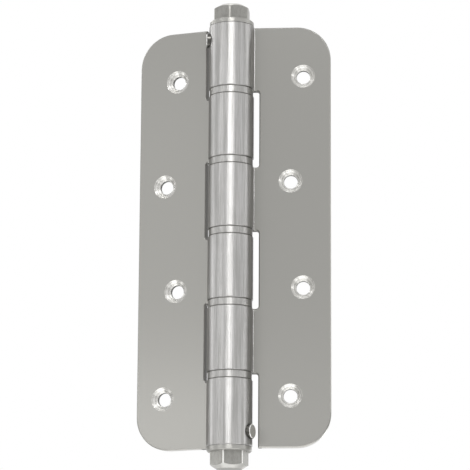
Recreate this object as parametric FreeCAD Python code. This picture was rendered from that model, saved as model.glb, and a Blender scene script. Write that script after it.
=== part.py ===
"""Spring hinge with one barrel: two rolled leaves, rings, a torsion spring and its tension plugs.

The barrel's axis is Z. The fixed leaf lies to the right (+X), its countersunk face looks to the front (-Y),
and the origin is on the axis at half height. Each solid is exported as one STEP file.
"""
import FreeCAD
import Part
import math
import os

# Leaves: two equal pressings of one sheet
leaf_height = 150.0
leaf_reach = 35.0
sheet = 3.0
closed_gap = 2.0
corner_radius = 12.0
edge_break = 0.35
rest_fold = 16.0

# Barrel: knuckles rolled from the leaves, counted from the top
barrel_radius = 8.0
knuckle_count = 6
end_knuckle_extra = 0.5
root_bend = 1.0
seam_gap = 0.15
cutout_clearance = 1.8
cutout_corner = 1.0

# Screw holes, in a staggered row down each leaf
screw_count = 4
screw_pitch = 38.0
screw_radius = 2.4
countersink_radius = 4.1
outer_screw_inset = 9.75
inner_screw_inset = 14.15

# Bearing rings between the knuckles, and the sleeves inside them
ring_thickness = 2.5
ring_inset = 0.3
ring_end_clearance = 0.03
running_clearance = 0.05
sleeve_wall = 0.7
sleeve_reach = 7.0

# Tension plugs, one in each end of the barrel
plug_gap = 1.2
plug_flange = 1.7
plug_flange_inset = 0.2
plug_edge = 0.4
hexagon_flats = 11.9
hexagon_height = 5.9
hexagon_edge = 0.3
hexagon_end_radius = 4.5
hexagon_end_angle = 33.0
hexagon_turn = 21.5
setting_holes = 4
setting_hole_wall = 0.9

# Lock pins, each through an end knuckle into a setting hole
pin_from_end = 5.0
pin_turn = 6.0
pin_radius = 1.5
pin_head_radius = 2.6
pin_head_proud = 1.0
pin_seat_depth = 0.5
pin_head_chamfer = 0.35
pin_tip_chamfer = 0.3
pin_tip_clearance = 0.15

# Torsion spring, and the rod inside it
wire_radius = 1.0
wire_sides = 6
coil_clearance = 0.15
spring_turns = 24
stretches_per_turn = 9
spring_bend = 1.2
stretches_per_bend = 3
spring_leg = 4.5
spring_end_angle = 70.0
rod_clearance = 0.6
rod_grip = 5.0
rod_end_gap = 0.5

# Room that a cutting tool reaches past what it cuts
tool_margin = 2.0

# Places that follow from the sizes above
origin = FreeCAD.Vector(0, 0, 0)
up = FreeCAD.Vector(0, 0, 1)
leaf_top = leaf_height / 2
front = closed_gap / 2
back = front + sheet
bore_radius = barrel_radius - sheet
ring_room = ring_thickness + 2 * ring_end_clearance
inner_knuckle = (leaf_height - (knuckle_count - 1) * ring_room - 2 * end_knuckle_extra) / knuckle_count
end_knuckle = inner_knuckle + end_knuckle_extra
journal_radius = bore_radius - running_clearance
sleeve_bore = journal_radius - sleeve_wall
cutout_x = barrel_radius + cutout_clearance
plug_inner_end = leaf_top - end_knuckle + sleeve_reach + plug_gap
setting_step = 360.0 / setting_holes
half_step = math.radians(setting_step / 2)
setting_hole_radius = pin_radius + running_clearance
setting_floor = (setting_hole_radius * math.cos(half_step) + setting_hole_wall / 2) / math.sin(half_step)
pin_height = leaf_top - pin_from_end
pin_angle = 180.0 + pin_turn
pin_seat = barrel_radius - pin_seat_depth
pin_tip = setting_floor + pin_tip_clearance
coil_radius = sleeve_bore - coil_clearance - wire_radius
rod_radius = coil_radius - wire_radius - rod_clearance


def barrel_rows():
    """Highest and lowest level of each knuckle, from the top down."""
    rows = []
    level = leaf_top
    for number in range(knuckle_count):
        at_end = number in (0, knuckle_count - 1)
        length = end_knuckle if at_end else inner_knuckle
        rows.append((level, level - length))
        level -= length + ring_room
    return rows


def polar(radius, degrees, centre=origin):
    """Point at a radius and an angle from +X about a centre, at the centre's level."""
    angle = math.radians(degrees)
    return centre + FreeCAD.Vector(radius * math.cos(angle), radius * math.sin(angle), 0)


def arc(centre, radius, start, end):
    """Edge that runs round a centre from one angle to another, in degrees."""
    first = polar(radius, start, centre)
    middle = polar(radius, (start + end) / 2, centre)
    last = polar(radius, end, centre)
    return Part.Arc(first, middle, last).toShape()


def sheet_section():
    """The sheet seen along the barrel: flat leaf, bend at the root, roll round the bore, open seam."""
    bend_y = back + root_bend
    bend_x = math.sqrt((barrel_radius + root_bend) ** 2 - bend_y ** 2)
    bend = FreeCAD.Vector(bend_x, bend_y, 0)
    root = math.degrees(math.atan2(bend_y, bend_x))
    seam = math.degrees(math.asin((front - seam_gap) / barrel_radius))
    front_edge = FreeCAD.Vector(leaf_reach, front, 0)
    back_edge = FreeCAD.Vector(leaf_reach, back, 0)
    front_bend = FreeCAD.Vector(bend_x, front, 0)
    back_bend = FreeCAD.Vector(bend_x, back, 0)
    edges = [
        Part.makeLine(front_edge, front_bend),
        arc(bend, root_bend + sheet, -90, root - 180),
        arc(origin, bore_radius, root, 360 + seam),
        Part.makeLine(polar(bore_radius, seam), polar(barrel_radius, seam)),
        arc(origin, barrel_radius, 360 + seam, root),
        arc(bend, root_bend, root - 180, -90),
        Part.makeLine(back_bend, back_edge),
        Part.makeLine(back_edge, front_edge),
    ]
    return Part.Face(Part.Wire(Part.__sortEdges__(edges))), bend_x


def upright_box(low_x, high_x, low_z, high_z, radius):
    """Box through the whole barrel from front to back, with its two edges at high_x rounded."""
    reach = barrel_radius + tool_margin
    corner = FreeCAD.Vector(low_x, -reach, low_z)
    box = Part.makeBox(high_x - low_x, 2 * reach, high_z - low_z, corner)
    rounded = []
    for edge in box.Edges:
        middle = edge.BoundBox.Center
        along_y = edge.BoundBox.YLength > reach
        if along_y and abs(middle.x - high_x) < radius / 10:
            rounded.append(edge)
    return box.makeFillet(radius, rounded)


def screw_places():
    """Centre of each screw hole on the fixed leaf: distance from the axis, and height."""
    places = []
    for number in range(screw_count):
        inset = inner_screw_inset if number % 2 else outer_screw_inset
        height = (screw_count - 1) / 2 * screw_pitch - number * screw_pitch
        places.append((leaf_reach - inset, height))
    return places


def screw_hole(x, z):
    """Countersink in the front face and the straight hole behind it."""
    into = FreeCAD.Vector(0, 1, 0)
    depth = countersink_radius - screw_radius
    mouth = FreeCAD.Vector(x, front - depth, z)
    cone = Part.makeCone(countersink_radius + depth, screw_radius, 2 * depth, mouth, into)
    hole = Part.makeCylinder(screw_radius, sheet + tool_margin, FreeCAD.Vector(x, front, z), into)
    return cone.fuse(hole)


def pin_line(distance):
    """Point on the lock pin's axis at a distance from the barrel's axis."""
    return polar(distance, pin_angle) + up * pin_height


def pin_opening():
    """Hole for the lock pin in the end knuckle, with a flat seat under the pin's head."""
    outward = polar(1, pin_angle)
    seat_radius = pin_head_radius + running_clearance
    hole = Part.makeCylinder(setting_hole_radius, barrel_radius, pin_line(bore_radius / 2), outward)
    seat = Part.makeCylinder(seat_radius, barrel_radius, pin_line(pin_seat), outward)
    return hole.fuse(seat)


def edges_to_break(leaf, bend_x):
    """The long edges round both faces of the leaf, without the bend line."""
    chosen = []
    for edge in leaf.Edges:
        box = edge.BoundBox
        on_face = box.YLength < sheet / 100 and min(abs(box.YMin - front), abs(box.YMin - back)) < sheet / 100
        bend_line = abs(box.XMax - bend_x) < sheet / 100
        if on_face and not bend_line:
            chosen.append(edge)
    return chosen


def make_leaf():
    """The leaf as it is fixed: knuckles 1, 3 and 5, screw holes and the hole for its lock pin."""
    section, bend_x = sheet_section()
    leaf = section.extrude(up * leaf_height)
    leaf.translate(up * -leaf_top)
    inner_x = -barrel_radius - tool_margin
    leaf = leaf.common(upright_box(inner_x, leaf_reach, -leaf_top, leaf_top, corner_radius))
    for number, (high, low) in enumerate(barrel_rows()):
        if number % 2 == 0:
            continue
        last = number == knuckle_count - 1
        floor = low - tool_margin if last else low - ring_room
        leaf = leaf.cut(upright_box(inner_x, cutout_x, floor, high + ring_room, cutout_corner))
    leaf = leaf.makeChamfer(edge_break, edges_to_break(leaf, bend_x))
    for x, z in screw_places():
        leaf = leaf.cut(screw_hole(x, z))
    return leaf.cut(pin_opening())


def flat_face(corners):
    """Flat face inside a chain of corners."""
    return Part.Face(Part.makePolygon(corners + corners[:1]))


def revolve(points):
    """Solid of revolution about Z from (radius, height) points."""
    corners = [FreeCAD.Vector(radius, 0, height) for radius, height in points]
    return flat_face(corners).revolve(origin, up, 360)


def make_ring(high):
    """Bearing ring under the knuckle that ends at the level high."""
    top = high - ring_end_clearance
    bottom = top - ring_thickness
    outside = barrel_radius - ring_inset
    return revolve([(bore_radius, top), (outside, top), (outside, bottom), (bore_radius, bottom)])


def make_sleeve(high):
    """Bearing sleeve through the ring, reaching into the knuckles above and below."""
    top = high + sleeve_reach
    bottom = high - ring_room - sleeve_reach
    return revolve([(sleeve_bore, top), (journal_radius, top), (journal_radius, bottom), (sleeve_bore, bottom)])


def hexagon(base):
    """Hexagon head on the level base: upright edges broken, end turned to a shallow cone."""
    corner = hexagon_flats / math.sqrt(3)
    turn = pin_angle + hexagon_turn
    corners = [polar(corner, turn + 60 * number) + up * base for number in range(6)]
    prism = flat_face(corners).extrude(up * hexagon_height)
    upright = [edge for edge in prism.Edges if edge.BoundBox.ZLength > hexagon_height / 2]
    prism = prism.makeChamfer(hexagon_edge, upright)
    end = base + hexagon_height
    wide = corner + tool_margin
    drop = (wide - hexagon_end_radius) * math.tan(math.radians(hexagon_end_angle))
    turned = revolve([
        (0, base),
        (wide, base),
        (wide, end - drop),
        (hexagon_end_radius, end),
        (0, end),
    ])
    return prism.common(turned)


def make_plug():
    """Tension plug of the upper end: shank in the knuckle, flange on its end, hexagon above."""
    flange_radius = barrel_radius - plug_flange_inset
    flange_top = leaf_top + plug_flange
    plug = revolve([
        (0, plug_inner_end),
        (journal_radius, plug_inner_end),
        (journal_radius, leaf_top),
        (flange_radius, leaf_top),
        (flange_radius, flange_top - plug_edge),
        (flange_radius - plug_edge, flange_top),
        (0, flange_top),
    ])
    plug = plug.fuse(hexagon(flange_top)).removeSplitter()
    for number in range(setting_holes):
        angle = pin_angle + setting_step * number
        foot = polar(setting_floor, angle) + up * pin_height
        plug = plug.cut(Part.makeCylinder(setting_hole_radius, barrel_radius, foot, polar(1, angle)))
    rod_hole = Part.makeCylinder(rod_radius + running_clearance, rod_grip + rod_end_gap, up * plug_inner_end, up)
    leg_foot = upper_leg()[-2]
    leg_hole = Part.makeCylinder(wire_radius + running_clearance, spring_leg + rod_end_gap, leg_foot, up)
    return plug.cut(rod_hole).cut(leg_hole)


def make_lock_pin():
    """Lock pin of the upper end: chamfered tip in the setting hole, head on the knuckle's flat seat."""
    head_end = barrel_radius + pin_head_proud
    pin = revolve([
        (0, pin_tip),
        (pin_radius - pin_tip_chamfer, pin_tip),
        (pin_radius, pin_tip + pin_tip_chamfer),
        (pin_radius, pin_seat),
        (pin_head_radius, pin_seat),
        (pin_head_radius, head_end - pin_head_chamfer),
        (pin_head_radius - pin_head_chamfer, head_end),
        (0, head_end),
    ])
    pin.rotate(origin, FreeCAD.Vector(0, 1, 0), 90)
    pin.rotate(origin, up, pin_angle)
    pin.translate(up * pin_height)
    return pin


def at_other_end(shape):
    """The same part on the moving leaf: turned half round about Y, then swung back to the rest pose."""
    part = shape.copy()
    part.rotate(origin, FreeCAD.Vector(0, 1, 0), 180)
    part.rotate(origin, up, -rest_fold)
    return part


def upper_leg():
    """Centre line of the spring's upper leg, from the coil's end round the bend to the leg's tip."""
    corner = polar(coil_radius, spring_end_angle) + up * (plug_inner_end - spring_bend)
    heading = polar(1, spring_end_angle + 90)
    line = []
    for number in range(1, stretches_per_bend + 1):
        turn = math.radians(90 * number / stretches_per_bend)
        line.append(corner + heading * (spring_bend * math.sin(turn)) + up * (spring_bend * (1 - math.cos(turn))))
    line.append(line[-1] + up * spring_leg)
    return line


def wire_along(line):
    """Wire with flat sides along a chain of points: its corners slide along each stretch to the next mitre."""
    first = (line[1] - line[0]).normalize()
    side = first.cross(polar(1, spring_end_angle)).normalize()
    across = first.cross(side)
    corners = []
    for number in range(wire_sides):
        angle = 2 * math.pi * number / wire_sides
        corners.append(line[0] + side * (wire_radius * math.cos(angle)) + across * (wire_radius * math.sin(angle)))
    faces = [flat_face(corners)]
    beyond = line[-1] * 2 - line[-2]
    for before, point, after in zip(line, line[1:], line[2:] + [beyond]):
        heading = (point - before).normalize()
        mitre = heading + (after - point).normalize()
        ahead = [corner + heading * (mitre.dot(point - corner) / mitre.dot(heading)) for corner in corners]
        for number in range(wire_sides):
            beside = (number + 1) % wire_sides
            faces.append(flat_face([corners[number], corners[beside], ahead[beside], ahead[number]]))
        corners = ahead
    faces.append(flat_face(corners))
    return Part.Solid(Part.Shell(faces))


def make_spring():
    """Torsion spring from plug to plug: a coil with a leg bent along the axis at each end."""
    reach = plug_inner_end - spring_bend
    start = 180 - spring_end_angle - rest_fold
    whole_angle = 360 * spring_turns + spring_end_angle - start
    count = spring_turns * stretches_per_turn
    coil = []
    for number in range(count + 1):
        share = number / count
        coil.append(polar(coil_radius, start + whole_angle * share) + up * (reach * (2 * share - 1)))
    upper = upper_leg()
    lower = [at_other_end(Part.Vertex(point)).Point for point in reversed(upper)]
    return wire_along(lower + coil + upper)


def make_rod():
    """Guide rod through the spring, held in both plugs."""
    reach = plug_inner_end + rod_grip
    return Part.makeCylinder(rod_radius, 2 * reach, up * -reach, up)


def main():
    """Builds every piece and writes one STEP file for each."""
    os.makedirs("parts", exist_ok=True)
    leaf = make_leaf()
    plug = make_plug()
    lock_pin = make_lock_pin()
    pieces = {
        "fixed_leaf": leaf,
        "moving_leaf": at_other_end(leaf),
        "top_tension_plug": plug,
        "bottom_tension_plug": at_other_end(plug),
        "top_lock_pin": lock_pin,
        "bottom_lock_pin": at_other_end(lock_pin),
        "torsion_spring": make_spring(),
        "guide_rod": make_rod(),
    }
    for number, (high, low) in enumerate(barrel_rows()[:-1], start=1):
        pieces["knuckle_ring_%d" % number] = make_ring(low)
        pieces["bearing_sleeve_%d" % number] = make_sleeve(low)
    for name, shape in pieces.items():
        solid = shape.Solids[0] if len(shape.Solids) == 1 else shape
        solid.exportStep("parts/%s.step" % name)
        print(name, len(shape.Solids), shape.isValid(), round(shape.Volume, 1))


main()
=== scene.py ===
"""Looks of the spring hinge: steel finishes, the wound spring and the studio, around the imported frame.

Lengths are named in millimetres and turned to metres where Blender takes them. The barrel's axis is Z, the
fixed leaf lies to the right (+X) and the countersunk faces look to the front (-Y).
"""

import logging
import math
from dataclasses import dataclass, field
from enum import Enum

import bmesh
import bpy
from mathutils import Matrix, Vector


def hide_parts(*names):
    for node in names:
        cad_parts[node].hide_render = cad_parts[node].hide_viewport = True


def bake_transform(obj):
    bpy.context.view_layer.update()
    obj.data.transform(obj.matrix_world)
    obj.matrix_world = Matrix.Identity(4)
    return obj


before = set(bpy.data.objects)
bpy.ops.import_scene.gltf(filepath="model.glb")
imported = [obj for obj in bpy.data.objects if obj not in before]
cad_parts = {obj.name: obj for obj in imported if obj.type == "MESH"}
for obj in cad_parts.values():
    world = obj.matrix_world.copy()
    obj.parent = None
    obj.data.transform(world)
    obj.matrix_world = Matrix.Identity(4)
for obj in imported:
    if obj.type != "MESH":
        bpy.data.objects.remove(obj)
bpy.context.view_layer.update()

MM = 0.001
UP = Vector((0.0, 0.0, 1.0))
log = logging.getLogger("hinge")


def srgb(code: str) -> tuple[float, float, float, float]:
    """Turns an sRGB hex colour to linear.

    Args:
        code: six hex digits after a hash.

    Returns:
        Red, green, blue and alpha, linear.
    """
    shares = [int(code[i : i + 2], 16) / 255 for i in (1, 3, 5)]
    linear = [s / 12.92 if s <= 0.04045 else ((s + 0.055) / 1.055) ** 2.4 for s in shares]
    return (*linear, 1.0)


def polar(radius: float, degrees: float, height: float = 0.0) -> Vector:
    """Point at a radius and an angle from +X about the barrel's axis."""
    angle = math.radians(degrees)
    return Vector((radius * math.cos(angle), radius * math.sin(angle), height))


def add_node(tree: bpy.types.NodeTree, kind: str, *inputs: object, **named: object) -> bpy.types.Node:
    """Adds a node, sets it and links it.

    Args:
        tree: the material's or world's node tree.
        kind: the node's type after "ShaderNode".
        inputs: values or output sockets for the first inputs, in their order.
        named: properties of the node in small letters; inputs by their name with _ for a blank, or i4, i5 for
            their place.

    Returns:
        The new node.
    """
    node = tree.nodes.new("ShaderNode" + kind)
    sockets = dict(enumerate(inputs))
    for name, value in named.items():
        if name[0] == "i" and name[1:].isdigit():
            sockets[int(name[1:])] = value
        elif name[0].islower():
            setattr(node, name, value)
        else:
            sockets[name.replace("_", " ")] = value
    for place, value in sockets.items():
        if isinstance(value, bpy.types.NodeSocket):
            tree.links.new(value, node.inputs[place])
        else:
            node.inputs[place].default_value = value
    return node


class Side(Enum):
    """The body that a piece moves with."""

    FIXED = "fixed_side"
    MOVING = "moving_side"


@dataclass(frozen=True)
class LeafSizes:
    """Sizes of a leaf that its finish lines up with, in millimetres."""

    rest_fold: float = 16.0
    barrel_radius: float = 8.0
    row_height: float = 25.26
    ring_half: float = 1.25
    outer_ring: int = 2
    screw_pitch: float = 38.0
    screw_middle: float = 23.05
    screw_stagger: float = 2.2
    countersink_radius: float = 4.1
    sink_floor: float = 2.75

    def to_fixed(self, side: Side) -> tuple[float, float, float]:
        """Turn of Object coordinates that lays a leaf of this side on the fixed one."""
        return (0.0, 0.0, 0.0) if side is Side.FIXED else (0.0, math.pi, -math.radians(self.rest_fold))


@dataclass(frozen=True)
class Steel:
    """Stainless steel: what every steel finish of the hinge shares.

    Marks of rolling, turning and drawing are far below a millimetre. They spread the reflection across
    themselves, which anisotropy does, and only a few are drawn, about three times as coarse as they are.
    Contrast holds the noise values at which a band starts and at which it is full. Beside a joint the painted
    shade of the gap is full up to joint_core and ends at joint_reach, in millimetres.
    """

    name: str
    colour: str
    roughness: float = 0.38
    anisotropy: float = 0.95
    edge_radius: float = 0.22
    contrast: tuple[float, float] = (0.34, 0.66)
    # Colour of the painted shade in the gaps beside the rings.
    gap_shade_colour: str = "#777672"
    joint_core: float = 0.1
    joint_reach: float = 0.22

    def shader(self) -> tuple[bpy.types.Material, bpy.types.NodeTree, bpy.types.Node]:
        """Makes the material with its Principled shader.

        Returns:
            The material, its node tree and the shader node.
        """
        material = bpy.data.materials.new(self.name)
        material.use_nodes = True
        tree = material.node_tree
        tree.nodes.clear()
        shader = add_node(
            tree, "BsdfPrincipled", Base_Color=srgb(self.colour), Metallic=1.0, Roughness=self.roughness,
            Anisotropic=self.anisotropy,
        )
        add_node(tree, "OutputMaterial", shader.outputs["BSDF"])
        return material, tree, shader

    def along_barrel(self, tree: bpy.types.NodeTree) -> bpy.types.NodeSocket:
        """Direction across the marks that turning leaves round the barrel."""
        return add_node(tree, "CombineXYZ", Z=1.0).outputs[0]

    def level(self, tree: bpy.types.NodeTree) -> bpy.types.NodeSocket:
        """Level direction along an upright face, whichever way its body is turned."""
        normal = add_node(tree, "NewGeometry").outputs["Normal"]
        return add_node(tree, "VectorMath", UP, normal, operation="CROSS_PRODUCT").outputs[0]

    def soft_edges(self, tree: bpy.types.NodeTree) -> bpy.types.NodeSocket:
        """Normal that rounds the broken edges, so that they catch a thin line of light."""
        return add_node(tree, "Bevel", self.edge_radius * MM, samples=6).outputs[0]

    def bands(
        self, tree: bpy.types.NodeTree, spot: bpy.types.NodeSocket, width: float, length: float, seed: float,
    ) -> bpy.types.NodeSocket:
        """Long soft bands along the barrel.

        Args:
            tree: the material's node tree.
            spot: place on the piece, in metres.
            width: width of a band in millimetres.
            length: length of a band in millimetres.
            seed: distance from the pattern's start, in bands.

        Returns:
            Value of the bands, from 0 to 1.
        """
        across, along = 1 / (width * MM), 1 / (length * MM)
        place = add_node(
            tree, "VectorMath", spot, (across, across, along), (seed, seed, seed), operation="MULTIPLY_ADD",
        ).outputs[0]
        noise = add_node(tree, "TexNoise", place, Scale=1.0, Detail=5.0, Roughness=0.8).outputs[0]
        return add_node(tree, "MapRange", noise, *self.contrast, interpolation_type="SMOOTHSTEP").outputs[0]

    def paint_gap_shade(
        self, tree: bpy.types.NodeTree, z: bpy.types.NodeSocket, colour: bpy.types.NodeSocket, sizes: LeafSizes,
    ) -> bpy.types.NodeSocket:
        """Paints shade on the steel beside each joint between a ring and a knuckle, where the narrow gap is
        shaded.

        Args:
            tree: the material's node tree.
            z: height.
            colour: colour of the clean steel.
            sizes: sizes of the leaf, with the pitch and the height of the rings.

        Returns:
            The colour with its painted joint shade.
        """
        # Painted shade: the steel darkens towards each ring joint, where the gap is shaded.
        pitch = sizes.row_height * MM
        stack_reach = (sizes.outer_ring + 0.5) * pitch
        from_ring = add_node(tree, "Math", z, pitch / 2, -pitch / 2, operation="WRAP").outputs[0]
        from_ring = add_node(tree, "Math", from_ring, operation="ABSOLUTE").outputs[0]
        away = add_node(tree, "Math", from_ring, sizes.ring_half * MM, operation="SUBTRACT").outputs[0]
        away = add_node(tree, "Math", away, operation="ABSOLUTE").outputs[0]
        shaded_by_gap = add_node(tree, "MapRange", away, self.joint_reach * MM, self.joint_core * MM).outputs[0]
        from_middle = add_node(tree, "Math", z, operation="ABSOLUTE").outputs[0]
        in_stack = add_node(tree, "Math", from_middle, stack_reach, operation="LESS_THAN").outputs[0]
        shaded_by_gap = add_node(tree, "Math", shaded_by_gap, in_stack, operation="MULTIPLY").outputs[0]
        return add_node(tree, "Mix", shaded_by_gap, i6=colour, i7=srgb(self.gap_shade_colour), data_type="RGBA").outputs[2]


@dataclass(frozen=True)
class Regions:
    """Regions of a leaf's surface, each 1 inside and 0 outside: flat plate, cut faces and countersinks."""

    plate: bpy.types.NodeSocket
    cut: bpy.types.NodeSocket
    sink: bpy.types.NodeSocket


@dataclass(frozen=True)
class RolledSheet(Steel):
    """Cold-rolled stainless sheet of the leaves.

    The flat leaf is smooth and satin, so it shows one even warm grey. The knuckles are rolled round a mandrel
    and polished round, so they show upright bands. The countersinks are turned bright, with faint rings, drawn
    about four times as coarse as a cutter leaves them. The outer edges carry a painted highlight, and the
    cutouts are left dull as the shear cut them and darkened further with painted shade.
    """

    name: str = "cold_rolled_stainless_sheet"
    colour: str = "#9C9B97"
    edge_radius: float = 0.14
    side: Side = Side.FIXED
    sizes: LeafSizes = LeafSizes()
    knuckle_colour: str = "#A4A3A1"
    band_colour: str = "#C3C2C1"
    sink_colour: str = "#ECEBE8"
    ring_colour: str = "#D3D2CE"
    # Painted highlight on the outer cut edges.
    painted_edge_highlight: str = "#EAE9E6"
    # Dull sheared cutouts and hole walls, darkened further with painted shade.
    sheared_and_shaded_colour: str = "#5E5D5A"
    sheared_reach: float = 11.0
    cut_cosine: float = 0.5
    root_start: float = 0.05
    root_end: float = 0.4
    rim_softness: float = 0.04
    band_width: float = 0.9
    band_length: float = 27.0
    band_shift: float = 17.3
    band_depth: float = 0.01
    plate_roughness: float = 0.3
    sink_roughness: float = 0.25
    groove_pitch: float = 0.8
    groove_depth: float = 0.008

    def build(self) -> bpy.types.Material:
        """Makes the leaf's material."""
        material, tree, shader = self.shader()
        flat = add_node(
            tree, "Mapping", add_node(tree, "TexCoord").outputs["Object"], vector_type="POINT",
            Rotation=self.sizes.to_fixed(self.side),
        ).outputs[0]
        x, y, z = add_node(tree, "SeparateXYZ", flat).outputs
        near_screw, from_screw, outward = self.sinks(tree, x, z)
        in_front = add_node(tree, "Math", y, self.sizes.sink_floor * MM, operation="LESS_THAN").outputs[0]
        in_sink = add_node(tree, "Math", near_screw, in_front, operation="MULTIPLY").outputs[0]
        on_edge, painted_edge_colour = self.edges(tree, x, near_screw)
        regions = Regions(self.plate(tree, x, y), on_edge, in_sink)
        bands = self.knuckle_bands(tree, flat, z)
        turn = 2 * math.pi / (self.groove_pitch * MM)
        groove = add_node(tree, "Math", from_screw, turn, operation="MULTIPLY").outputs[0]
        groove = add_node(tree, "Math", groove, operation="SINE").outputs[0]
        knuckle = self.knuckle_steel(tree, z, bands)
        tree.links.new(self.paint(tree, regions, knuckle, painted_edge_colour, groove), shader.inputs["Base Color"])
        tree.links.new(self.marks(tree, regions, outward), shader.inputs["Tangent"])
        tree.links.new(self.gloss(tree, regions), shader.inputs["Roughness"])
        tree.links.new(self.relief(tree, regions, bands, groove), shader.inputs["Normal"])
        return material

    def plate(
        self, tree: bpy.types.NodeTree, x: bpy.types.NodeSocket, y: bpy.types.NodeSocket,
    ) -> bpy.types.NodeSocket:
        """Finds the flat leaf by its distance from the barrel's axis: 1 on it, 0 on the knuckles."""
        across = add_node(tree, "CombineXYZ", x, y).outputs[0]
        radius = add_node(tree, "VectorMath", across, operation="LENGTH").outputs["Value"]
        barrel = self.sizes.barrel_radius
        return add_node(
            tree, "MapRange", radius, (barrel + self.root_start) * MM, (barrel + self.root_end) * MM,
            interpolation_type="SMOOTHSTEP",
        ).outputs[0]

    def marks(
        self, tree: bpy.types.NodeTree, regions: Regions, outward: bpy.types.NodeSocket,
    ) -> bpy.types.NodeSocket:
        """Sets which way the marks of the mill, the shear and the countersink spread the reflection.

        Args:
            tree: the material's node tree.
            regions: regions of the surface.
            outward: direction away from the nearest screw's axis.

        Returns:
            The tangent.
        """
        tangent = add_node(
            tree, "Mix", regions.plate, i4=self.along_barrel(tree), i5=self.level(tree), data_type="VECTOR",
        ).outputs[1]
        round_axis = add_node(tree, "Tangent", direction_type="RADIAL", axis="Z").outputs[0]
        across_edge = add_node(tree, "Math", regions.cut, regions.plate, operation="MULTIPLY").outputs[0]
        tangent = add_node(tree, "Mix", across_edge, i4=tangent, i5=round_axis, data_type="VECTOR").outputs[1]
        return add_node(tree, "Mix", regions.sink, i4=tangent, i5=outward, data_type="VECTOR").outputs[1]

    def knuckle_steel(
        self, tree: bpy.types.NodeTree, z: bpy.types.NodeSocket, bands: bpy.types.NodeSocket,
    ) -> bpy.types.NodeSocket:
        """Colours the knuckles, with their bands and the painted shade beside the rings."""
        knuckle = add_node(
            tree, "Mix", bands, i6=srgb(self.knuckle_colour), i7=srgb(self.band_colour), data_type="RGBA",
        ).outputs[2]
        return self.paint_gap_shade(tree, z, knuckle, self.sizes)

    def paint(
        self, tree: bpy.types.NodeTree, regions: Regions, knuckle: bpy.types.NodeSocket,
        edge: bpy.types.NodeSocket, groove: bpy.types.NodeSocket,
    ) -> bpy.types.NodeSocket:
        """Gives each region its colour.

        Args:
            tree: the material's node tree.
            regions: regions of the surface.
            knuckle: colour of the knuckles.
            edge: colour of the cut faces, with their painted highlight and painted shade.
            groove: wave of the countersinks' rings, from -1 to 1.

        Returns:
            The colour of the whole leaf.
        """
        plate = add_node(tree, "Mix", regions.cut, i6=srgb(self.colour), i7=edge, data_type="RGBA").outputs[2]
        colour = add_node(tree, "Mix", regions.plate, i6=knuckle, i7=plate, data_type="RGBA").outputs[2]
        ring = add_node(tree, "MapRange", groove, -1.0, 1.0).outputs[0]
        sink = add_node(
            tree, "Mix", ring, i6=srgb(self.ring_colour), i7=srgb(self.sink_colour), data_type="RGBA",
        ).outputs[2]
        return add_node(tree, "Mix", regions.sink, i6=colour, i7=sink, data_type="RGBA").outputs[2]

    def gloss(self, tree: bpy.types.NodeTree, regions: Regions) -> bpy.types.NodeSocket:
        """Gives each region its roughness."""
        plate = add_node(
            tree, "Mix", regions.plate, i2=self.roughness, i3=self.plate_roughness, data_type="FLOAT",
        ).outputs[0]
        return add_node(
            tree, "Mix", regions.sink, i2=plate, i3=self.sink_roughness, data_type="FLOAT",
        ).outputs[0]

    def relief(
        self, tree: bpy.types.NodeTree, regions: Regions, bands: bpy.types.NodeSocket,
        groove: bpy.types.NodeSocket,
    ) -> bpy.types.NodeSocket:
        """Raises the bands on the knuckles and cuts the rings in the countersinks.

        Args:
            tree: the material's node tree.
            regions: regions of the surface.
            bands: value of the knuckles' bands, from 0 to 1.
            groove: wave of the countersinks' rings, from -1 to 1.

        Returns:
            The normal.
        """
        height = add_node(tree, "Mix", regions.plate, i2=bands, i3=0.5, data_type="FLOAT").outputs[0]
        waves = add_node(
            tree, "Bump", Distance=self.band_depth * MM, Height=height, Normal=self.soft_edges(tree),
        ).outputs[0]
        groove = add_node(tree, "Math", groove, regions.sink, operation="MULTIPLY").outputs[0]
        return add_node(tree, "Bump", Distance=self.groove_depth * MM, Height=groove, Normal=waves).outputs[0]

    def edges(
        self, tree: bpy.types.NodeTree, x: bpy.types.NodeSocket, near_screw: bpy.types.NodeSocket,
    ) -> tuple[bpy.types.NodeSocket, bpy.types.NodeSocket]:
        """Finds the cut faces of the flat leaf and colours them: a painted highlight on the outer edges, and
        painted shade on the dull sheared cutouts and punched screw holes.

        Args:
            tree: the material's node tree.
            x: distance from the barrel's axis along the leaf.
            near_screw: 1 inside a countersink's rim.

        Returns:
            1 on a cut face, and that face's colour.
        """
        normal = add_node(
            tree, "Mapping", add_node(tree, "TexCoord").outputs["Normal"], vector_type="VECTOR",
            Rotation=self.sizes.to_fixed(self.side),
        ).outputs[0]
        facing = add_node(tree, "SeparateXYZ", normal).outputs[1]
        facing = add_node(tree, "Math", facing, operation="ABSOLUTE").outputs[0]
        on_edge = add_node(tree, "Math", facing, self.cut_cosine, operation="LESS_THAN").outputs[0]
        outer = add_node(tree, "Math", x, self.sheared_reach * MM, operation="GREATER_THAN").outputs[0]
        outer = add_node(tree, "Math", outer, near_screw, use_clamp=True, operation="SUBTRACT").outputs[0]
        # Painted highlight on the outer edges; dull sheared colour with painted shade on the cutouts and screw
        # hole walls.
        edge = add_node(
            tree, "Mix", outer, i6=srgb(self.sheared_and_shaded_colour), i7=srgb(self.painted_edge_highlight), data_type="RGBA",
        ).outputs[2]
        return on_edge, edge

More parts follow.
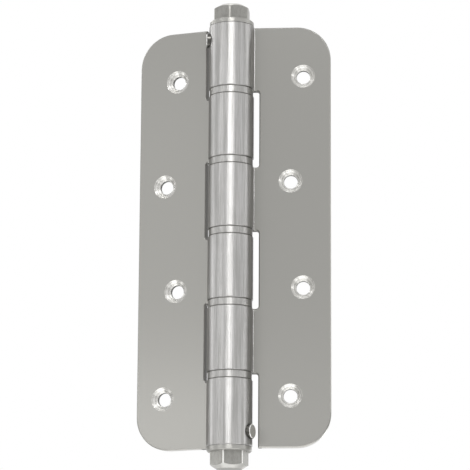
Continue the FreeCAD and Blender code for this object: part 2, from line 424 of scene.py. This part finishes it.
    def sinks(
        self, tree: bpy.types.NodeTree, x: bpy.types.NodeSocket, z: bpy.types.NodeSocket,
    ) -> tuple[bpy.types.NodeSocket, bpy.types.NodeSocket, bpy.types.NodeSocket]:
        """Finds the countersinks of the staggered row on the flat leaf.

        Args:
            tree: the material's node tree.
            x: distance from the barrel's axis along the leaf.
            z: height.

        Returns:
            1 inside a countersink's rim, distance from the nearest screw's axis, and direction away from it.
        """
        pitch = self.sizes.screw_pitch * MM
        half_up = add_node(tree, "Math", z, pitch / 2, operation="SUBTRACT").outputs[0]
        up_from = add_node(tree, "Math", half_up, pitch / 2, -pitch / 2, operation="WRAP").outputs[0]
        turn = add_node(tree, "Math", z, math.pi / pitch, -1.5 * math.pi, operation="MULTIPLY_ADD").outputs[0]
        wave = add_node(tree, "Math", turn, operation="COSINE").outputs[0]
        column = add_node(tree, "Math", wave, operation="SIGN").outputs[0]
        centre = add_node(
            tree, "Math", column, self.sizes.screw_stagger * MM, self.sizes.screw_middle * MM,
            operation="MULTIPLY_ADD",
        ).outputs[0]
        beside = add_node(tree, "Math", x, centre, operation="SUBTRACT").outputs[0]
        away = add_node(tree, "CombineXYZ", beside, 0.0, up_from).outputs[0]
        distance = add_node(tree, "VectorMath", away, operation="LENGTH").outputs["Value"]
        rim = self.sizes.countersink_radius * MM
        soft = self.rim_softness * MM
        inside = add_node(tree, "MapRange", distance, rim + soft, rim - soft).outputs[0]
        turned_back = add_node(
            tree, "VectorRotate", away, rotation_type="EULER_XYZ", invert=True,
            Rotation=self.sizes.to_fixed(self.side),
        ).outputs[0]
        in_world = add_node(
            tree, "VectorTransform", turned_back, vector_type="VECTOR", convert_from="OBJECT",
            convert_to="WORLD",
        ).outputs[0]
        outward = add_node(tree, "VectorMath", in_world, operation="NORMALIZE").outputs[0]
        return inside, distance, outward

    def knuckle_bands(
        self, tree: bpy.types.NodeTree, flat: bpy.types.NodeSocket, z: bpy.types.NodeSocket,
    ) -> bpy.types.NodeSocket:
        """Upright bands that rolling leaves, different on each knuckle."""
        rows = 1 / (self.sizes.row_height * MM)
        row = add_node(tree, "Math", z, rows, 3.0, operation="MULTIPLY_ADD").outputs[0]
        row = add_node(tree, "Math", row, operation="FLOOR").outputs[0]
        shift = add_node(tree, "Math", row, self.band_shift * MM, operation="MULTIPLY").outputs[0]
        shift = add_node(tree, "CombineXYZ", shift).outputs[0]
        moved = add_node(tree, "VectorMath", flat, shift, operation="ADD").outputs[0]
        return self.bands(tree, moved, self.band_width, self.band_length, seed=0.0)


@dataclass(frozen=True)
class TurnedSteel(Steel):
    """Stainless bar turned on a lathe, for the rings: bands like the knuckles', under fine level lines."""

    name: str = "turned_stainless_rings"
    colour: str = "#A6A5A3"
    band_colour: str = "#BEBDBB"
    sizes: LeafSizes = LeafSizes()
    band_width: float = 1.2
    band_length: float = 6.0
    band_depth: float = 0.012
    line_pitch: float = 0.6
    line_length: float = 40.0
    line_depth: float = 0.006

    def build(self) -> bpy.types.Material:
        """Makes the turned material."""
        material, tree, shader = self.shader()
        tree.links.new(self.along_barrel(tree), shader.inputs["Tangent"])
        spot = add_node(tree, "TexCoord").outputs["Object"]
        bands = self.bands(tree, spot, self.band_width, self.band_length, seed=4.0)
        colour = add_node(
            tree, "Mix", bands, i6=srgb(self.colour), i7=srgb(self.band_colour), data_type="RGBA",
        ).outputs[2]
        z = add_node(tree, "SeparateXYZ", spot).outputs[2]
        # Painted shade beside the joints with the knuckles.
        colour = self.paint_gap_shade(tree, z, colour, self.sizes)
        tree.links.new(colour, shader.inputs["Base Color"])
        lines = self.bands(tree, spot, self.line_length, self.line_pitch, seed=2.0)
        waves = add_node(
            tree, "Bump", Distance=self.band_depth * MM, Height=bands, Normal=self.soft_edges(tree),
        ).outputs[0]
        turned = add_node(tree, "Bump", Distance=self.line_depth * MM, Height=lines, Normal=waves).outputs[0]
        tree.links.new(turned, shader.inputs["Normal"])
        return material


@dataclass(frozen=True)
class HexagonBar(Steel):
    """Drawn stainless hexagon bar of the plugs.

    The flats keep the satin skin of drawing, with faint long mottles. The flange and the cone on the end are
    turned from the bar, so they are brighter, with a painted highlight on the cone and on the upright edges.
    """

    name: str = "drawn_stainless_hexagon_bar"
    colour: str = "#94938F"
    mottle_colour: str = "#A3A29E"
    turned_colour: str = "#ABAAA6"
    # Painted highlight on the turned cone at the end.
    painted_cone_highlight: str = "#D0CFCB"
    face_colour: str = "#A9A8A4"
    # Painted highlight on the upright edges.
    painted_corner_highlight: str = "#E9E8E5"
    flange_top: float = 76.7
    upright_sine: float = 0.2
    level_sine: float = 0.95
    corner_angle: float = 19.0
    corner_half: float = 8.0
    mottle_width: float = 1.2
    mottle_length: float = 2.5
    mottle_depth: float = 0.01

    def build(self) -> bpy.types.Material:
        """Makes the plug's material."""
        material, tree, shader = self.shader()
        spot = add_node(tree, "TexCoord").outputs["Object"]
        z = add_node(tree, "SeparateXYZ", spot).outputs[2]
        height = add_node(tree, "Math", z, operation="ABSOLUTE").outputs[0]
        over_flange = add_node(tree, "Math", height, self.flange_top * MM, operation="GREATER_THAN").outputs[0]
        normal = add_node(tree, "NewGeometry").outputs["Normal"]
        steep = add_node(tree, "SeparateXYZ", normal).outputs[2]
        steep = add_node(tree, "Math", steep, operation="ABSOLUTE").outputs[0]
        upright = add_node(tree, "Math", steep, self.upright_sine, operation="LESS_THAN").outputs[0]
        mottles = self.bands(tree, spot, self.mottle_width, self.mottle_length, seed=9.0)
        drawn = add_node(
            tree, "Mix", mottles, i6=srgb(self.colour), i7=srgb(self.mottle_colour), data_type="RGBA",
        ).outputs[2]
        # Painted highlight on the upright edges of the hexagon.
        highlit_corners = self.corners(tree)
        flat = add_node(tree, "Mix", highlit_corners, i6=drawn, i7=srgb(self.painted_corner_highlight), data_type="RGBA").outputs[2]
        level = add_node(tree, "Math", steep, self.level_sine, operation="GREATER_THAN").outputs[0]
        # Painted highlight on the cone at the end; the flat end face keeps face_colour.
        end = add_node(
            tree, "Mix", level, i6=srgb(self.painted_cone_highlight), i7=srgb(self.face_colour), data_type="RGBA",
        ).outputs[2]
        head = add_node(tree, "Mix", upright, i6=end, i7=flat, data_type="RGBA").outputs[2]
        colour = add_node(
            tree, "Mix", over_flange, i6=srgb(self.turned_colour), i7=head, data_type="RGBA",
        ).outputs[2]
        tree.links.new(colour, shader.inputs["Base Color"])
        tree.links.new(self.along_barrel(tree), shader.inputs["Tangent"])
        waves = add_node(
            tree, "Bump", Distance=self.mottle_depth * MM, Height=mottles, Normal=self.soft_edges(tree),
        ).outputs[0]
        tree.links.new(waves, shader.inputs["Normal"])
        return material

    def corners(self, tree: bpy.types.NodeTree) -> bpy.types.NodeSocket:
        """Finds the broken upright edges, which get a painted highlight, by the angle that they face, which is
        nearly one for both plugs.
        """
        x, y, _ = add_node(tree, "SeparateXYZ", add_node(tree, "TexCoord").outputs["Normal"]).outputs
        angle = add_node(tree, "Math", y, x, operation="ARCTAN2").outputs[0]
        turn = math.radians(self.corner_angle)
        angle = add_node(tree, "Math", angle, turn, operation="SUBTRACT").outputs[0]
        angle = add_node(tree, "Math", angle, math.pi / 6, -math.pi / 6, operation="WRAP").outputs[0]
        angle = add_node(tree, "Math", angle, operation="ABSOLUTE").outputs[0]
        return add_node(tree, "Math", angle, math.radians(self.corner_half), operation="LESS_THAN").outputs[0]


@dataclass(frozen=True)
class GroundSteel(Steel):
    """Hardened steel ground smooth, for the guide rod: glossier than the sheet, nearly the same all ways."""

    name: str = "ground_steel_rod"
    colour: str = "#A3A2A0"
    roughness: float = 0.24
    anisotropy: float = 0.3

    def build(self) -> bpy.types.Material:
        """Makes the ground material."""
        material, tree, shader = self.shader()
        tree.links.new(self.soft_edges(tree), shader.inputs["Normal"])
        return material


@dataclass(frozen=True)
class TurnedPin(GroundSteel):
    """Lock pin turned from bright bar: a polished face, a painted highlight on its slanted faces and painted
    shade round its rim.
    """

    name: str = "turned_bright_pin"
    colour: str = "#DCDBD8"
    # Painted shade round the head's rim, in the gap of its seat.
    painted_rim_shade: str = "#5A5956"
    # Painted highlight on the head's slanted faces.
    painted_edge_colour: str = "#F4F3F1"
    edge_radius: float = 0.08
    axis_angle: float = 186.0
    height: float = 70.0
    rim_radius: float = 2.45
    face_cosine: float = 0.9

    def build(self) -> bpy.types.Material:
        """Makes the pin's material."""
        material, tree, shader = self.shader()
        coordinates = add_node(tree, "TexCoord").outputs
        axis = polar(1.0, self.axis_angle)
        facing = add_node(
            tree, "VectorMath", coordinates["Normal"], axis, operation="DOT_PRODUCT",
        ).outputs["Value"]
        slanted = add_node(tree, "Math", facing, self.face_cosine, operation="LESS_THAN").outputs[0]
        middle = UP * self.height * MM
        spot = add_node(tree, "VectorMath", coordinates["Object"], middle, operation="SUBTRACT").outputs[0]
        off_axis = add_node(tree, "VectorMath", spot, axis, operation="CROSS_PRODUCT").outputs[0]
        radius = add_node(tree, "VectorMath", off_axis, operation="LENGTH").outputs["Value"]
        outer = add_node(tree, "Math", radius, self.rim_radius * MM, operation="GREATER_THAN").outputs[0]
        # Painted highlight on the slanted faces of the head.
        edge = add_node(
            tree, "Mix", slanted, i6=srgb(self.colour), i7=srgb(self.painted_edge_colour), data_type="RGBA",
        ).outputs[2]
        # Painted shade round the rim of the head, in the gap of its seat.
        colour = add_node(tree, "Mix", outer, i6=edge, i7=srgb(self.painted_rim_shade), data_type="RGBA").outputs[2]
        tree.links.new(colour, shader.inputs["Base Color"])
        tree.links.new(self.soft_edges(tree), shader.inputs["Normal"])
        return material


@dataclass(frozen=True)
class SpringWire(Steel):
    """Hard-drawn spring wire: darker than the sheet, with a slightly mottled skin from drawing and coiling."""

    name: str = "hard_drawn_spring_wire"
    colour: str = "#74736F"
    worn_colour: str = "#8A8986"
    roughness: float = 0.33
    anisotropy: float = 0.0
    mottle_width: float = 0.9
    mottle_depth: float = 0.01

    def build(self) -> bpy.types.Material:
        """Makes the wire's material."""
        material, tree, shader = self.shader()
        spot = add_node(tree, "TexCoord").outputs["Object"]
        skin = add_node(tree, "TexNoise", spot, Scale=1 / (self.mottle_width * MM), Detail=3.0).outputs[0]
        colour = add_node(
            tree, "Mix", skin, i6=srgb(self.colour), i7=srgb(self.worn_colour), data_type="RGBA",
        ).outputs[2]
        tree.links.new(colour, shader.inputs["Base Color"])
        drawn = add_node(tree, "Bump", Distance=self.mottle_depth * MM, Height=skin).outputs[0]
        tree.links.new(drawn, shader.inputs["Normal"])
        return material


@dataclass(frozen=True)
class Acetal:
    """Natural acetal of the bearing sleeves: waxy off-white, slightly see-through, with a fine moulded skin."""

    name: str = "natural_acetal"
    colour: str = "#E4E1D8"
    roughness: float = 0.45
    refraction: float = 1.48
    light_reach: float = 0.5
    grain_width: float = 0.4
    grain_depth: float = 0.004

    def build(self) -> bpy.types.Material:
        """Makes the plastic."""
        material = bpy.data.materials.new(self.name)
        material.use_nodes = True
        tree = material.node_tree
        tree.nodes.clear()
        shader = add_node(
            tree, "BsdfPrincipled", Base_Color=srgb(self.colour), Roughness=self.roughness, IOR=self.refraction,
            Subsurface_Weight=0.1, Subsurface_Scale=self.light_reach * MM,
        )
        spot = add_node(tree, "TexCoord").outputs["Object"]
        skin = add_node(tree, "TexNoise", spot, Scale=1 / (self.grain_width * MM), Detail=2.0).outputs[0]
        moulded = add_node(tree, "Bump", Distance=self.grain_depth * MM, Height=skin).outputs[0]
        tree.links.new(moulded, shader.inputs["Normal"])
        add_node(tree, "OutputMaterial", shader.outputs["BSDF"])
        return material


def dress(node: str, material: bpy.types.Material) -> None:
    """Gives a CAD node its finish, in its own material slot."""
    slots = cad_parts[node].data.materials
    slots.clear()
    slots.append(material)
    log.info("%s: %s", node, material.name)


@dataclass
class Leaf:
    """One leaf with its rolled knuckles and countersunk holes."""

    side: Side
    sizes: LeafSizes = LeafSizes()

    def dress(self) -> None:
        """Gives the leaf its rolled finish, laid out from its own flat."""
        name = "fixed_leaf" if self.side is Side.FIXED else "moving_leaf"
        finish = RolledSheet(name=f"cold_rolled_stainless_{name}", side=self.side, sizes=self.sizes)
        dress(name, finish.build())


@dataclass
class BearingStack:
    """The rings between the knuckles, and the sleeves inside them."""

    count: int = 5
    ring_finish: TurnedSteel = TurnedSteel()
    sleeve_finish: Acetal = Acetal()

    def dress(self) -> None:
        """Gives rings and sleeves their finishes."""
        ring = self.ring_finish.build()
        sleeve = self.sleeve_finish.build()
        for number in range(1, self.count + 1):
            dress(f"knuckle_ring_{number}", ring)
            dress(f"bearing_sleeve_{number}", sleeve)


@dataclass
class EndFittings:
    """The tension plug and the lock pin in each end of the barrel."""

    plug_finish: HexagonBar = HexagonBar()
    top_pin: TurnedPin = TurnedPin("turned_bright_top_pin")
    bottom_pin: TurnedPin = TurnedPin("turned_bright_bottom_pin", axis_angle=-22.0, height=-70.0)

    def dress(self) -> None:
        """Gives plugs and pins their finishes."""
        plug = self.plug_finish.build()
        for end, pin in (("top", self.top_pin), ("bottom", self.bottom_pin)):
            dress(f"{end}_tension_plug", plug)
            dress(f"{end}_lock_pin", pin.build())


@dataclass
class SpringCore:
    """The torsion spring wound from round wire, and the guide rod inside it.

    Lengths are in millimetres. The bend rises a little more than it reaches out, and that much of the leg
    lies in the bend.
    """

    rest_fold: float = 16.0
    coil_radius: float = 3.1
    coil_reach: float = 58.8
    wire_radius: float = 1.0
    wire_sides: int = 12
    turns: int = 24
    steps_per_turn: int = 32
    end_angle: float = 70.0
    bend_reach: float = 1.2
    bend_steps: int = 6
    leg: float = 4.5
    leg_in_bend: float = 0.34
    wire_finish: SpringWire = SpringWire()
    rod_finish: GroundSteel = GroundSteel()

    def build(self) -> None:
        """Winds the spring in place of its plain solid and dresses the rod."""
        work = bmesh.new()
        start = 180.0 - self.end_angle - self.rest_fold
        whole = 360.0 * self.turns + self.end_angle - start
        slope = math.atan2(2 * self.coil_reach, math.radians(whole) * self.coil_radius)
        heading = polar(math.cos(slope), start + 90.0, math.sin(slope))
        place = Matrix.Translation(polar(self.coil_radius, start, -self.coil_reach))
        ring = bmesh.ops.create_circle(
            work, segments=self.wire_sides, radius=self.wire_radius,
            matrix=place @ heading.to_track_quat("Z", "Y").to_matrix().to_4x4(),
        )
        lower_end = list({edge for vert in ring["verts"] for edge in vert.link_edges})
        steps = self.turns * self.steps_per_turn
        coil = bmesh.ops.spin(
            work, geom=lower_end, cent=(0, 0, 0), axis=UP, dvec=UP * (2 * self.coil_reach / steps),
            angle=math.radians(whole), steps=steps, use_merge=False, use_duplicate=False,
        )
        upper_end = [part for part in coil["geom_last"] if isinstance(part, bmesh.types.BMEdge)]
        self.add_leg(work, upper_end, slope, Matrix.Identity(4))
        self.add_leg(work, lower_end, slope, self.half_round())
        bmesh.ops.recalc_face_normals(work, faces=work.faces)
        bmesh.ops.scale(work, verts=work.verts, vec=(MM, MM, MM))
        for face in work.faces:
            face.smooth = True
        mesh = bpy.data.meshes.new("wound_spring")
        work.to_mesh(mesh)
        work.free()
        spring = bpy.data.objects.new("wound_spring", mesh)
        bpy.context.scene.collection.objects.link(spring)
        mesh.materials.append(self.wire_finish.build())
        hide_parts("torsion_spring")
        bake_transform(spring)
        log.info("wound_spring: %d faces", len(mesh.polygons))
        dress("guide_rod", self.rod_finish.build())

    def half_round(self) -> Matrix:
        """Turn that brings the upper end of the spring to its lower end."""
        fold = Matrix.Rotation(-math.radians(self.rest_fold), 4, "Z")
        return fold @ Matrix.Rotation(math.pi, 4, "Y")

    def add_leg(
        self, work: bmesh.types.BMesh, end: list[bmesh.types.BMEdge], slope: float, turn: Matrix,
    ) -> None:
        """Bends the wire from the coil's end to the axis's direction, and lets it run straight into the plug.

        Args:
            work: the spring's mesh.
            end: edges round the wire where the coil ends.
            slope: angle of the coil's rise, in radians.
            turn: turn from the upper end to the end that is made.
        """
        bend_radius = self.bend_reach / (1 - math.sin(slope))
        coil_end = polar(self.coil_radius, self.end_angle, self.coil_reach)
        ahead = polar(1.0, self.end_angle + 90.0)
        centre = coil_end + (UP * math.cos(slope) - ahead * math.sin(slope)) * bend_radius
        bend = bmesh.ops.spin(
            work, geom=end, cent=turn @ centre, axis=turn @ ahead.cross(UP), dvec=(0, 0, 0),
            angle=math.pi / 2 - slope, steps=self.bend_steps, use_merge=False, use_duplicate=False,
        )
        bent = [part for part in bend["geom_last"] if isinstance(part, bmesh.types.BMEdge)]
        straight = bmesh.ops.extrude_edge_only(work, edges=bent)["geom"]
        tip = [part for part in straight if isinstance(part, bmesh.types.BMVert)]
        bmesh.ops.translate(work, verts=tip, vec=turn @ (UP * (self.leg - self.leg_in_bend)))
        edges = [part for part in straight if isinstance(part, bmesh.types.BMEdge)]
        rim = [edge for edge in edges if all(vert in tip for vert in edge.verts)]
        bmesh.ops.edgeloop_fill(work, edges=rim)


@dataclass(frozen=True)
class Lamp:
    """Soft box that looks at the hinge. Azimuth 0 is in front of it, and positive is to the right."""

    name: str
    azimuth: float
    elevation: float
    width: float
    height: float
    radiance: float
    distance: float = 1.2

    def hang(self) -> None:
        """Makes the lamp in its place."""
        data = bpy.data.lights.new(self.name, "AREA")
        data.shape = "RECTANGLE"
        data.size, data.size_y = self.width, self.height
        data.energy = self.radiance * math.pi * self.width * self.height
        lamp = bpy.data.objects.new(self.name, data)
        azimuth, elevation = math.radians(self.azimuth), math.radians(self.elevation)
        level = math.cos(elevation)
        outward = Vector((math.sin(azimuth) * level, -math.cos(azimuth) * level, math.sin(elevation)))
        lamp.location = outward * self.distance
        lamp.rotation_euler = (-outward).to_track_quat("-Z", "Y").to_euler()
        lamp.visible_camera = False
        bpy.context.scene.collection.objects.link(lamp)
        log.info("lamp %s", self.name)


@dataclass
class Studio:
    """Camera of the photograph, white surroundings, a pale floor and soft lamps."""

    camera_place: tuple[float, float, float] = (70.8, -900.0, -200.6)
    camera_yaw: float = -4.40
    camera_pitch: float = 12.5
    camera_roll: float = 0.35
    lens: float = 203.0
    floor_level: float = -1300.0
    floor_reach: float = 12000.0
    floor_colour: str = "#FBFBFA"
    ambient: float = 0.8
    lamps: list[Lamp] = field(default_factory=list)

    def set_camera(self) -> None:
        """Makes the camera, near the photograph's angle and with no shift."""
        yaw, pitch, roll = (math.radians(a) for a in (self.camera_yaw, self.camera_pitch, self.camera_roll))
        ahead = Vector((math.sin(yaw) * math.cos(pitch), math.cos(yaw) * math.cos(pitch), math.sin(pitch)))
        right = ahead.cross(UP).normalized()
        top = right.cross(ahead)
        across = right * math.cos(roll) + top * math.sin(roll)
        upward = top * math.cos(roll) - right * math.sin(roll)
        data = bpy.data.cameras.new("photograph")
        data.lens = self.lens
        data.sensor_width = 36.0
        data.clip_start, data.clip_end = 0.05, 50.0
        camera = bpy.data.objects.new("photograph", data)
        turned = Matrix((across, upward, -ahead)).transposed().to_4x4()
        camera.matrix_world = Matrix.Translation(Vector(self.camera_place) * MM) @ turned
        bpy.context.scene.collection.objects.link(camera)
        bpy.context.scene.camera = camera

    def surround(self) -> None:
        """Makes a white world for the camera and for reflections, and a soft ambient light."""
        world = bpy.data.worlds.new("studio_white")
        bpy.context.scene.world = world
        world.use_nodes = True
        tree = world.node_tree
        tree.nodes.clear()
        path = add_node(tree, "LightPath").outputs
        camera, glossy, through = (path[f"Is {kind} Ray"] for kind in ("Camera", "Glossy", "Transmission"))
        seen = add_node(tree, "Math", camera, glossy, operation="MAXIMUM").outputs[0]
        seen = add_node(tree, "Math", seen, through, operation="MAXIMUM").outputs[0]
        strength = add_node(tree, "MapRange", seen, To_Min=self.ambient, To_Max=1.0).outputs[0]
        white = add_node(tree, "Background", srgb("#FFFFFF"), strength)
        add_node(tree, "OutputWorld", white.outputs["Background"])

    def lay_floor(self) -> None:
        """Makes the pale floor, below the lamps and every view, nearly as white as the world behind it."""
        mesh = bpy.data.meshes.new("floor")
        work = bmesh.new()
        bmesh.ops.create_grid(work, x_segments=1, y_segments=1, size=self.floor_reach * MM)
        bmesh.ops.translate(work, verts=work.verts, vec=UP * self.floor_level * MM)
        work.to_mesh(mesh)
        work.free()
        floor = bpy.data.objects.new("floor", mesh)
        bpy.context.scene.collection.objects.link(floor)
        material = bpy.data.materials.new("matt_white_floor")
        material.use_nodes = True
        tree = material.node_tree
        tree.nodes.clear()
        seen = add_node(tree, "LightPath").outputs["Is Camera Ray"]
        strength = add_node(tree, "Math", seen, 1.0 - self.ambient, operation="MULTIPLY").outputs[0]
        lift = add_node(tree, "Emission", srgb("#FFFFFF"), strength).outputs[0]
        matt = add_node(tree, "BsdfDiffuse", srgb(self.floor_colour)).outputs[0]
        add_node(tree, "OutputMaterial", add_node(tree, "AddShader", matt, lift).outputs[0])
        mesh.materials.append(material)

    def build(self) -> None:
        """Makes the whole studio."""
        self.set_camera()
        self.surround()
        self.lay_floor()
        for lamp in self.lamps:
            lamp.hang()
        bpy.context.scene.view_settings.view_transform = "Standard"


STUDIO_LAMPS = [
    Lamp("key_above_front", 1.0, 36.0, 0.46, 0.3, 13.0),
    Lamp("strip_upper_left", -60.0, 45.0, 0.14, 0.5, 4.4),
    Lamp("low_front_left", -38.0, 4.5, 0.35, 0.12, 2.2),
    Lamp("soft_front_left", -42.0, 14.0, 0.5, 0.2, 0.4),
    Lamp("low_front", -6.0, 5.0, 0.2, 0.12, 0.6),
    Lamp("left_side", -95.0, 5.0, 0.25, 0.22, 2.0),
    Lamp("right_side", 86.0, 10.0, 0.25, 0.25, 2.5),
    Lamp("low_left", -97.0, -27.0, 0.8, 0.35, 1.2),
    Lamp("low_right", 60.0, -40.0, 0.8, 0.35, 0.8),
    Lamp("back_left", -125.0, 30.0, 0.25, 0.5, 2.8),
    Lamp("back_right", 108.0, 28.0, 0.2, 0.4, 1.8),
    Lamp("far_back_right", 150.0, -14.0, 0.35, 0.2, 2.6),
    Lamp("below", 0.0, -80.0, 0.34, 0.1, 1.4, 0.28),
]


def main() -> None:
    """Dresses every CAD node, adds the wound spring and makes the studio."""
    logging.basicConfig(level=logging.INFO, format="%(name)s: %(message)s")
    for side in Side:
        Leaf(side).dress()
    BearingStack().dress()
    EndFittings().dress()
    SpringCore().build()
    Studio(lamps=STUDIO_LAMPS).build()


if __name__ == "__main__":
    main()
